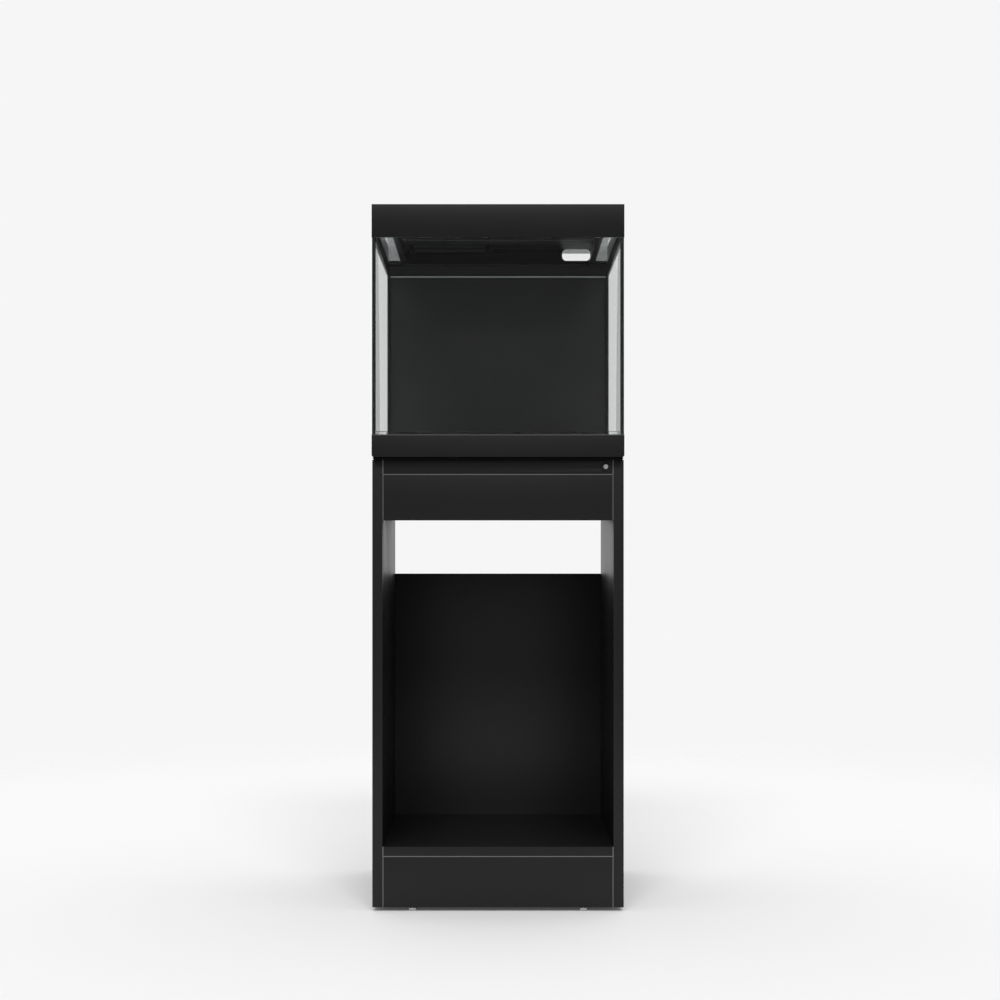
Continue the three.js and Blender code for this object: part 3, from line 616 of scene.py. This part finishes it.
coil = bmesh.new()
ring = bmesh.ops.create_circle(coil, cap_ends=False, radius=SPRING_WIRE, segments=WIRE_SIDES)
bmesh.ops.translate(coil, verts=coil.verts, vec=(SPRING_RADIUS, 0, 0))
bmesh.ops.translate(coil, verts=coil.verts,
                    vec=(latch_line[0], spring_low.y + SPRING_WIRE * 2, latch_line[2]))
coil_steps = SPRING_TURNS * STEPS_PER_TURN
coil_rise = (spring_high.y - spring_low.y - SPRING_WIRE * 4) / coil_steps
start_edges = list(coil.edges)
swept = bmesh.ops.spin(coil, geom=list(coil.verts) + start_edges, cent=latch_line, axis=(0, 1, 0),
                       dvec=(0, coil_rise, 0), angle=2 * math.pi * SPRING_TURNS, steps=coil_steps,
                       use_merge=False)
end_edges = [e for e in swept["geom_last"] if isinstance(e, bmesh.types.BMEdge)]
bmesh.ops.edgeloop_fill(coil, edges=start_edges)
bmesh.ops.edgeloop_fill(coil, edges=end_edges)
bmesh.ops.recalc_face_normals(coil, faces=coil.faces)
spring = finish_piece("latch_coil", coil, plated_steel, "stand_and_tank", ["latch_spring"])
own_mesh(spring)


# ---------------------------------------------------------------------------
# Levelling mat. A sheet of black closed-cell foam, cut a little inside the
# tray, which evens out the cabinet's top under the tank.
# ---------------------------------------------------------------------------

FOAM_BLACK = (0.0012, 0.0012, 0.0012, 1)
FOAM_WORN = (0.0035, 0.0035, 0.0035, 1)
FOAM_EASE = 0.0008

foam = moulded_finish("closed_cell_foam", "levelling_mat", FOAM_BLACK, FOAM_WORN, roughness=0.9, scale=700.0,
                      bump=0.9, wear_and_highlight_width=0.0008, specular=0.1, dust=0.05)
finish_piece("foam_mat", refined("levelling_mat", FOAM_EASE), foam, "stand_and_tank",
             ["levelling_mat"])


# ---------------------------------------------------------------------------
# Base tray. One black moulding with ribs beneath, which carries the panes
# on its top face and shows as the band under the tank.
# ---------------------------------------------------------------------------

PLASTIC_BLACK = (0.0066, 0.0066, 0.0069, 1)
PLASTIC_WORN = (0.020, 0.020, 0.0205, 1)
RIM_HIGHLIGHT_GREY = (0.110, 0.110, 0.111, 1)
TRAY_EASE = 0.0008


def black_moulding(name, node, wear_and_highlight_width=0.0010, dust=0.2, wear_and_highlight_colour=PLASTIC_WORN, crispness=1.0, plain=""):
    """The satin black plastic of the tray, the hood and what is fixed in it."""
    return moulded_finish(name, node, PLASTIC_BLACK, wear_and_highlight_colour, roughness=0.38, scale=2400.0, bump=0.18, wear_and_highlight_width=wear_and_highlight_width,
                          dust=dust, crispness=crispness, plain=plain)


# The tray's rim is painted with a crisp light grey band along its top edges: a painted highlight where light
# catches the eased rim.
tray_plastic = black_moulding("tray_black_plastic", "tank_base_tray", wear_and_highlight_width=0.0014, wear_and_highlight_colour=RIM_HIGHLIGHT_GREY,
                              crispness=3.0, plain="x- x+ z-")
finish_piece("base_tray", refined("tank_base_tray", TRAY_EASE), tray_plastic, "stand_and_tank",
             ["tank_base_tray"])


# ---------------------------------------------------------------------------
# Glass. Five float-glass panes with ground and polished edges, the side
# panes standing between the front and rear ones on the tray.
# ---------------------------------------------------------------------------

GLASS_CLEAR = (0.955, 0.975, 0.965, 1)
GLASS_EDGE = (0.42, 0.66, 0.58, 1)
GLASS_EDGE_DARK = (0.05, 0.06, 0.058, 1)
GLASS_ALPHA = 0.45
GLASS_GLOSS = 0.40
GLASS_POLISH = 0.01
THIN_SHEET_IOR = 1.001
SKIN_IOR = 1.50
SKIN_POLISH = 0.02
GLASS_ARRIS = 0.0005
PANE_EDGE_WIDTH = 0.0012
FLOOR_EDGE_WIDTH = 0.0030


def clear_finish(name, node, clear, edge, alpha, gloss, roughness, edge_width):
    """Clear sheet that doesn't bend the view: a tint, a deeper one at its edges, and a skin that reflects."""
    material, tree, shader = new_material(name)
    low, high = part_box(node)
    rim = use_group(tree, edge_band_mask, Low=low, High=high, Width=edge_width, Breakup=0.0)
    grain = use_group(tree, surface_grain, Scale=14.0, Roughness=roughness, Variation=0.01)
    link(tree, mix_colour(tree, rim.outputs["Mask"], clear, edge), shader.inputs["Base Color"])
    link(tree, grain.outputs["Roughness"], shader.inputs["Roughness"])
    shader.inputs["IOR"].default_value = THIN_SHEET_IOR
    shader.inputs["Transmission Weight"].default_value = 1.0
    shader.inputs["Alpha"].default_value = alpha
    shader.inputs["Coat Weight"].default_value = gloss
    shader.inputs["Coat IOR"].default_value = SKIN_IOR
    shader.inputs["Coat Roughness"].default_value = SKIN_POLISH
    return material


for side in ("bottom", "rear", "left", "right", "front"):
    node = f"{side}_glass"
    edge, width = (GLASS_EDGE_DARK, FLOOR_EDGE_WIDTH) if side == "bottom" else (GLASS_EDGE, PANE_EDGE_WIDTH)
    sheet_glass = clear_finish(f"{side}_float_glass", node, GLASS_CLEAR, edge, alpha=GLASS_ALPHA,
                               gloss=GLASS_GLOSS, roughness=GLASS_POLISH, edge_width=width)
    finish_piece(f"{side}_pane", refined(node, GLASS_ARRIS, 2), sheet_glass, "stand_and_tank",
                 [node])


# ---------------------------------------------------------------------------
# Background film. A black self-adhesive sheet on the outer face of the rear
# pane, smooth behind the glass and satin on its back.
# ---------------------------------------------------------------------------

FILM_BLACK = (0.025, 0.025, 0.0255, 1)
FILM_EDGE_HIGHLIGHT = (0.400, 0.400, 0.401, 1)

# The film's top edge is painted with a light grey band: a painted highlight, the bright line along the top of
# the rear pane.
film = moulded_finish("background_film", "rear_background", FILM_BLACK, FILM_EDGE_HIGHLIGHT, roughness=0.5,
                      scale=300.0, bump=0.08, wear_and_highlight_width=0.0026, dust=0.0, crispness=3.0, plain="x- x+ z-")
finish_piece("background_sheet", refined("rear_background", 0.0), film, "stand_and_tank",
             ["rear_background"])


# ---------------------------------------------------------------------------
# Seams. Black sealant bonds the side panes' edges and runs into a hollow
# bead that a fingertip has smoothed down each corner and round the floor.
# ---------------------------------------------------------------------------

SEALANT_BLACK = (0.0050, 0.0050, 0.0052, 1)
BOND = 0.0010
BEAD_STEPS = 8
FLOOR_BEAD_EASE = 0.0002

pane_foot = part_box("left_glass")[0].z
sealant = moulded_finish("black_sealant", "floor_seam", SEALANT_BLACK, SEALANT_BLACK, roughness=0.32,
                         scale=120.0, bump=0.25, wear_and_highlight_width=0.0005, specular=0.4, dust=0.0)


def corner_bead(node, side_x, side_y):
    """The bond strip and its hollow bead, drawn up the corner, and the strip alone at the foot."""
    low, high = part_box(node)
    outer_x, inner_x = (high.x, low.x) if side_x > 0 else (low.x, high.x)
    pane_y, free_y = (high.y, low.y) if side_y > 0 else (low.y, high.y)
    depth = pane_y - free_y
    width = side_x * (abs(depth) - BOND)
    outline = [(outer_x, pane_y)]
    for step in range(BEAD_STEPS + 1):
        turn = math.pi / 2 * step / BEAD_STEPS
        outline.append((inner_x + width * math.sin(turn), free_y + depth * math.cos(turn)))
    bond_y = pane_y - side_y * BOND
    outline += [(inner_x + width, bond_y), (outer_x, bond_y)]
    foot = [(outer_x, pane_y), (inner_x + width, pane_y), (inner_x + width, bond_y), (outer_x, bond_y)]
    mesh = bmesh.new()
    for shape, bottom, top in ((outline, low.z, high.z), (foot, pane_foot, low.z)):
        face = mesh.faces.new([mesh.verts.new((x, y, bottom)) for x, y in shape])
        raised = bmesh.ops.extrude_face_region(mesh, geom=[face])
        tops = [v for v in raised["geom"] if isinstance(v, bmesh.types.BMVert)]
        bmesh.ops.translate(mesh, verts=tops, vec=(0, 0, top - bottom))
    bmesh.ops.recalc_face_normals(mesh, faces=mesh.faces)
    return mesh


for end, side_y in (("front", -1), ("rear", 1)):
    for side, side_x in (("left", -1), ("right", 1)):
        node = f"{end}_{side}_seam"
        finish_piece(f"{end}_{side}_bead", corner_bead(node, side_x, side_y), sealant, "stand_and_tank",
                     [node], smooth=50)
finish_piece("floor_bead", refined("floor_seam", FLOOR_BEAD_EASE), sealant, "stand_and_tank",
             ["floor_seam"])


# ---------------------------------------------------------------------------
# Hood frame and rails. The frame is one black moulding that rests on the
# rim of the glass; two rails in it carry the lid, the cover and the strips.
# ---------------------------------------------------------------------------

HOOD_EASE = 0.0007
RAIL_EASE = 0.0004

hood_plastic = black_moulding("hood_black_plastic", "hood_frame")
finish_piece("hood_surround", refined("hood_frame", HOOD_EASE), hood_plastic, "hood",
             ["hood_frame"])
for side in ("left", "right"):
    node = f"{side}_hood_rail"
    rail_plastic = black_moulding(f"{side}_rail_plastic", node, wear_and_highlight_width=0.0006)
    finish_piece(f"{side}_lid_rail", refined(node, RAIL_EASE, 2), rail_plastic, "hood",
                 [node])


# ---------------------------------------------------------------------------
# Clear strips and cover. Thin clear sheets keep splashes in: one along each
# side of the hood, and a larger one that slides back to open for feeding.
# ---------------------------------------------------------------------------

# The side strips are tinted darker than the cover, though they are the same clear plastic: painted shade.
STRIP_SHADED_CLEAR = (0.70, 0.72, 0.73, 1)
COVER_CLEAR = (0.92, 0.93, 0.93, 1)
SHEET_EDGE = (0.30, 0.31, 0.32, 1)
SHEET_EDGE_WIDTH = 0.0010
SHEET_POLISH = 0.03
SHEET_EASE = 0.0004
GRIP_EASE = 0.0015

for node, name, body, clear in (
    ("left_clear_strip", "left_splash_strip", "hood", STRIP_SHADED_CLEAR),
    ("right_clear_strip", "right_splash_strip", "hood", STRIP_SHADED_CLEAR),
    ("cover_plate", "sliding_cover", "cover", COVER_CLEAR),
):
    sheet_plastic = clear_finish(f"{name}_plastic", node, clear, SHEET_EDGE, alpha=1.0, gloss=1.0,
                                 roughness=SHEET_POLISH, edge_width=SHEET_EDGE_WIDTH)
    finish_piece(name, refined(node, SHEET_EASE, 2), sheet_plastic, body, [node])

grip_plastic = black_moulding("grip_black_plastic", "cover_grip", wear_and_highlight_width=0.0006, dust=0.1)
finish_piece("cover_handle", refined("cover_grip", GRIP_EASE, 4), grip_plastic, "cover",
             ["cover_grip"])


# ---------------------------------------------------------------------------
# Lid. The flap in front turns up on two steel pins for feeding; the panel
# behind it is fixed and carries the light.
# ---------------------------------------------------------------------------

LID_DUST = 0.3
PIN_EASE = 0.0004
PIN_STEPS = 32

flap_plastic = black_moulding("flap_black_plastic", "feeding_flap", dust=LID_DUST)
finish_piece("lid_flap", refined("feeding_flap", HOOD_EASE), flap_plastic, "flap",
             ["feeding_flap"])
top_plastic = black_moulding("top_black_plastic", "fixed_top", dust=LID_DUST)
finish_piece("lid_rear_panel", refined("fixed_top", HOOD_EASE), top_plastic, "hood",
             ["fixed_top"])

for side in ("left", "right"):
    node = f"{side}_hinge_pin"
    low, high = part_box(node)
    middle = (low + high) / 2
    radius = (high.z - low.z) / 2
    length = high.x - low.x
    profile = [(0.0, 0.0), (radius, 0.0), (radius, length), (0.0, length)]
    pin = turned(profile, (low.x, middle.y, middle.z), (1, 0, 0), PIN_EASE, PIN_STEPS)
    finish_piece(f"{side}_lid_pin", pin, plated_steel, "hood", [node])


# ---------------------------------------------------------------------------
# Light unit. A shallow housing under the fixed panel, with rows of LEDs on a
# white board above two smoked lenses, and a low-voltage socket behind.
# ---------------------------------------------------------------------------

LENS_TONE = (0.085, 0.085, 0.087, 1)
LENS_EDGE = (0.120, 0.120, 0.122, 1)
BOARD_WHITE = (0.62, 0.63, 0.61, 1)
CHIP_YELLOW = (0.70, 0.55, 0.12, 1)
CHIP_SIZE = (0.0050, 0.0050, 0.0010)
CHIP_EASE = 0.0003
CHIPS_PER_ROW = 14
CHIP_ROWS = (-0.25, 0.25)
CASE_EASE = 0.0006
SOCKET_EASE = 0.0002
LENS_EASE = 0.0005
CIRCUIT_EASE = 0.0002

housing_plastic = black_moulding("light_housing_plastic", "light_housing", wear_and_highlight_width=0.0006, dust=0.1)
finish_piece("light_case", refined("light_housing", CASE_EASE, 2), housing_plastic, "hood",
             ["light_housing"])
socket_plastic = black_moulding("socket_black_plastic", "light_socket", wear_and_highlight_width=0.0003, dust=0.0)
finish_piece("power_socket", refined("light_socket", SOCKET_EASE, 2), socket_plastic, "hood",
             ["light_socket"])
for end in ("front", "rear"):
    node = f"{end}_light_lens"
    smoked = moulded_finish(f"{end}_smoked_lens", node, LENS_TONE, LENS_EDGE, roughness=0.3, scale=500.0,
                            bump=0.4, wear_and_highlight_width=0.0020, specular=0.5, stretch=(0.02, 1, 1), dust=0.0)
    finish_piece(f"{end}_lens", refined(node, LENS_EASE, 2), smoked, "hood", [node])

white_board = moulded_finish("white_circuit_board", "led_board", BOARD_WHITE, BOARD_WHITE, roughness=0.4,
                             scale=900.0, bump=0.1, specular=0.5, dust=0.0)
finish_piece("led_panel", refined("led_board", CIRCUIT_EASE, 1), white_board, "hood",
             ["led_board"])

chip_finish = moulded_finish("led_chips", "led_board", CHIP_YELLOW, CHIP_YELLOW, roughness=0.25, scale=1500.0,
                             bump=0.1, specular=0.5, dust=0.0)
chips = bmesh.new()
panel_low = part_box("led_board")[0]
for end in ("front", "rear"):
    low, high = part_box(f"{end}_light_lens")
    pitch = (high.x - low.x) / CHIPS_PER_ROW
    for index in range(CHIPS_PER_ROW):
        for row in CHIP_ROWS:
            made = bmesh.ops.create_cube(chips, size=1.0)
            bmesh.ops.scale(chips, verts=made["verts"], vec=CHIP_SIZE)
            spot = (
                low.x + pitch * (index + 0.5),
                (low.y + high.y) / 2 + row * (high.y - low.y),
                panel_low.z - CHIP_SIZE[2] / 2,
            )
            bmesh.ops.translate(chips, verts=made["verts"], vec=spot)
bmesh.ops.bevel(chips, geom=list(chips.edges), offset=CHIP_EASE, segments=1, profile=0.5,
                affect="EDGES", material=-1, clamp_overlap=True)
finish_piece("led_chips", chips, chip_finish, "hood", [])
